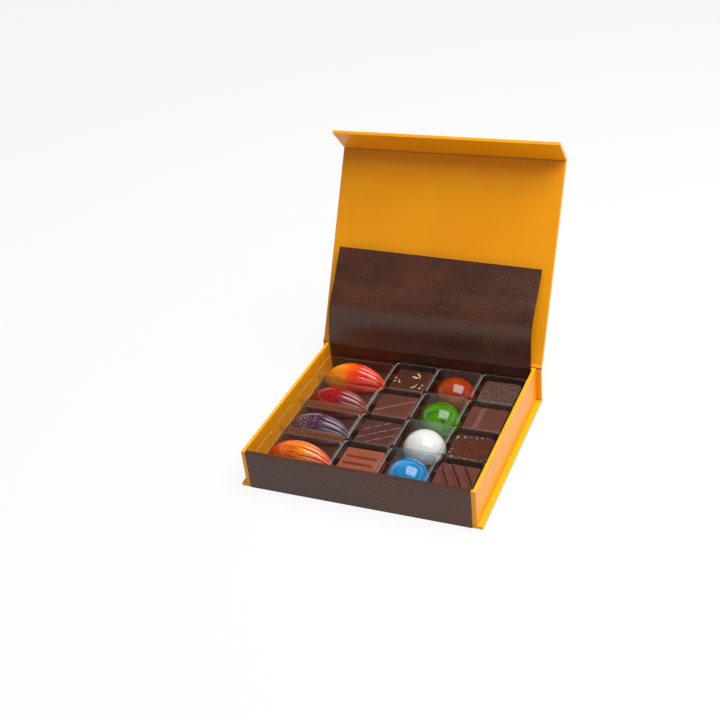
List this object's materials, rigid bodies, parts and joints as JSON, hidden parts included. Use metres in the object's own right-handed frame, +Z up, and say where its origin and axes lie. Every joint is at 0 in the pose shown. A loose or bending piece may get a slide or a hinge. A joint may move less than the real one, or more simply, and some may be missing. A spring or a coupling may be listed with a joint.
{
  "type": "chocolate box",
  "caption": "Book-style rigid gift box with hinged lid, magnetic flap, brown paper liner and a clear pocketed insert holding moulded chocolates.",
  "frame": {"origin": "middle of the base's underside", "axes": "+X to the right as seen from the front flap's side, +Y from the front wall to the spine, +Z up"},
  "size_m": [0.1726, 0.2263, 0.1782],
  "materials": {
    "cover_paper": "satin yellow-orange paper",
    "greyboard": "raw grey pulp board",
    "pad_board": "raw brown corrugated board",
    "liner_paper": "satin dark brown paper, finely speckled",
    "magnet_metal": "bright plating",
    "clear_sheet": "clear gloss",
    "pod_amber_shell": "glossy yellow to red",
    "pod_ruby_shell": "glossy maroon to red",
    "pod_plum_shell": "glossy speckled plum",
    "pod_flame_shell": "glossy orange with red streaks",
    "dome_copper_shell": "glossy copper orange",
    "dome_green_shell": "glossy green",
    "dome_white_shell": "glossy white",
    "dome_blue_shell": "glossy blue",
    "dark_chocolate": "satin dark chocolate",
    "milk_chocolate": "satin milk chocolate"
  },
  "bodies": {
    "tray_case": {"base_board": "greyboard", "base_wrap": "cover_paper", "spine_board": "greyboard", "spine_wrap": "cover_paper", "spine_fold": "cover_paper", "tray_floor_board": "greyboard", "tray_front_board": "greyboard", "tray_back_board": "greyboard", "tray_left_board": "greyboard", "tray_right_board": "greyboard", "corner_stays": "greyboard", "tray_wrap": "cover_paper", "wall_discs": "magnet_metal", "floor_pad": "pad_board", "liner_sheet": "liner_paper", "lid_hinge_paper": "cover_paper"},
    "cover_lid": {"lid_board": "greyboard", "lid_wrap": "cover_paper", "lid_lining": "cover_paper", "flap_hinge_paper": "cover_paper"},
    "cover_flap": {"flap_board": "greyboard", "flap_wrap": "cover_paper", "flap_lining": "cover_paper", "flap_magnets": "magnet_metal"},
    "leaf_lower": {"back_leaf_lower": "liner_paper"},
    "leaf_upper": {"back_leaf_upper": "liner_paper"},
    "leaf_front": {"front_leaf": "liner_paper"},
    "insert": {"clear_insert": "clear_sheet"},
    "piece_pod_amber": {"pod_amber": "pod_amber_shell"},
    "piece_pod_ruby": {"pod_ruby": "pod_ruby_shell"},
    "piece_pod_plum": {"pod_plum": "pod_plum_shell"},
    "piece_pod_flame": {"pod_flame": "pod_flame_shell"},
    "piece_dome_copper": {"dome_copper": "dome_copper_shell"},
    "piece_dome_green": {"dome_green": "dome_green_shell"},
    "piece_dome_white": {"dome_white": "dome_white_shell"},
    "piece_dome_blue": {"dome_blue": "dome_blue_shell"},
    "piece_square_gold_fleck": {"square_gold_fleck": "dark_chocolate"},
    "piece_square_diagonal_line": {"square_diagonal_line": "dark_chocolate"},
    "piece_square_drizzle": {"square_drizzle": "dark_chocolate"},
    "piece_square_two_groove": {"square_two_groove": "milk_chocolate"},
    "piece_square_fine_grain": {"square_fine_grain": "dark_chocolate"},
    "piece_square_stitch": {"square_stitch": "dark_chocolate"},
    "piece_square_wrinkled": {"square_wrinkled": "dark_chocolate"},
    "piece_square_slant_groove": {"square_slant_groove": "dark_chocolate"}
  },
  "joints": [
    {"name": "cover_lid_hinge", "type": "hinge", "parent": "tray_case", "child": "cover_lid", "pos_m": [0, 0.07395, 0.0298], "axis": [-1, 0, 0], "range_deg": [-120.4, 59.6], "deforming": ["lid_hinge_paper"]},
    {"name": "cover_flap_hinge", "type": "hinge", "parent": "cover_lid", "child": "cover_flap", "pos_m": [0, 0.15013, 0.15786], "axis": [-1, 0, 0], "range_deg": [-15.6, 74.4], "deforming": ["flap_hinge_paper"]},
    {"name": "leaf_lower_fold", "type": "hinge", "parent": "tray_case", "child": "leaf_lower", "pos_m": [0, 0.07078, 0.0301], "axis": [-1, 0, 0], "range_deg": [-103.5, 51.5]},
    {"name": "leaf_upper_fold", "type": "hinge", "parent": "leaf_lower", "child": "leaf_upper", "pos_m": [0, 0.07662, 0.05543], "axis": [-1, 0, 0], "range_deg": [-27, 13.5]},
    {"name": "front_leaf_hinge", "type": "hinge", "parent": "tray_case", "child": "leaf_front", "pos_m": [0, -0.07347, 0.0303], "axis": [1, 0, 0], "range_deg": [-270, 0]},
    {"name": "insert_lift", "type": "slide", "parent": "tray_case", "child": "insert", "axis": [0, 0, 1], "range_m": [0, 0.03]},
    {"name": "pod_amber_lift", "type": "slide", "parent": "insert", "child": "piece_pod_amber", "axis": [0, 0, 1], "range_m": [0, 0.025]},
    {"name": "pod_ruby_lift", "type": "slide", "parent": "insert", "child": "piece_pod_ruby", "axis": [0, 0, 1], "range_m": [0, 0.025]},
    {"name": "pod_plum_lift", "type": "slide", "parent": "insert", "child": "piece_pod_plum", "axis": [0, 0, 1], "range_m": [0, 0.025]},
    {"name": "pod_flame_lift", "type": "slide", "parent": "insert", "child": "piece_pod_flame", "axis": [0, 0, 1], "range_m": [0, 0.025]},
    {"name": "dome_copper_lift", "type": "slide", "parent": "insert", "child": "piece_dome_copper", "axis": [0, 0, 1], "range_m": [0, 0.025]},
    {"name": "dome_green_lift", "type": "slide", "parent": "insert", "child": "piece_dome_green", "axis": [0, 0, 1], "range_m": [0, 0.025]},
    {"name": "dome_white_lift", "type": "slide", "parent": "insert", "child": "piece_dome_white", "axis": [0, 0, 1], "range_m": [0, 0.025]},
    {"name": "dome_blue_lift", "type": "slide", "parent": "insert", "child": "piece_dome_blue", "axis": [0, 0, 1], "range_m": [0, 0.025]},
    {"name": "square_gold_fleck_lift", "type": "slide", "parent": "insert", "child": "piece_square_gold_fleck", "axis": [0, 0, 1], "range_m": [0, 0.025]},
    {"name": "square_diagonal_line_lift", "type": "slide", "parent": "insert", "child": "piece_square_diagonal_line", "axis": [0, 0, 1], "range_m": [0, 0.025]},
    {"name": "square_drizzle_lift", "type": "slide", "parent": "insert", "child": "piece_square_drizzle", "axis": [0, 0, 1], "range_m": [0, 0.025]},
    {"name": "square_two_groove_lift", "type": "slide", "parent": "insert", "child": "piece_square_two_groove", "axis": [0, 0, 1], "range_m": [0, 0.025]},
    {"name": "square_fine_grain_lift", "type": "slide", "parent": "insert", "child": "piece_square_fine_grain", "axis": [0, 0, 1], "range_m": [0, 0.025]},
    {"name": "square_stitch_lift", "type": "slide", "parent": "insert", "child": "piece_square_stitch", "axis": [0, 0, 1], "range_m": [0, 0.025]},
    {"name": "square_wrinkled_lift", "type": "slide", "parent": "insert", "child": "piece_square_wrinkled", "axis": [0, 0, 1], "range_m": [0, 0.025]},
    {"name": "square_slant_groove_lift", "type": "slide", "parent": "insert", "child": "piece_square_slant_groove", "axis": [0, 0, 1], "range_m": [0, 0.025]}
  ],
  "couplings": [
    {"joint": "leaf_lower_fold", "follows": "cover_lid_hinge", "ratio": 0.85548},
    {"joint": "leaf_upper_fold", "follows": "cover_lid_hinge", "ratio": 0.2201}
  ]
}
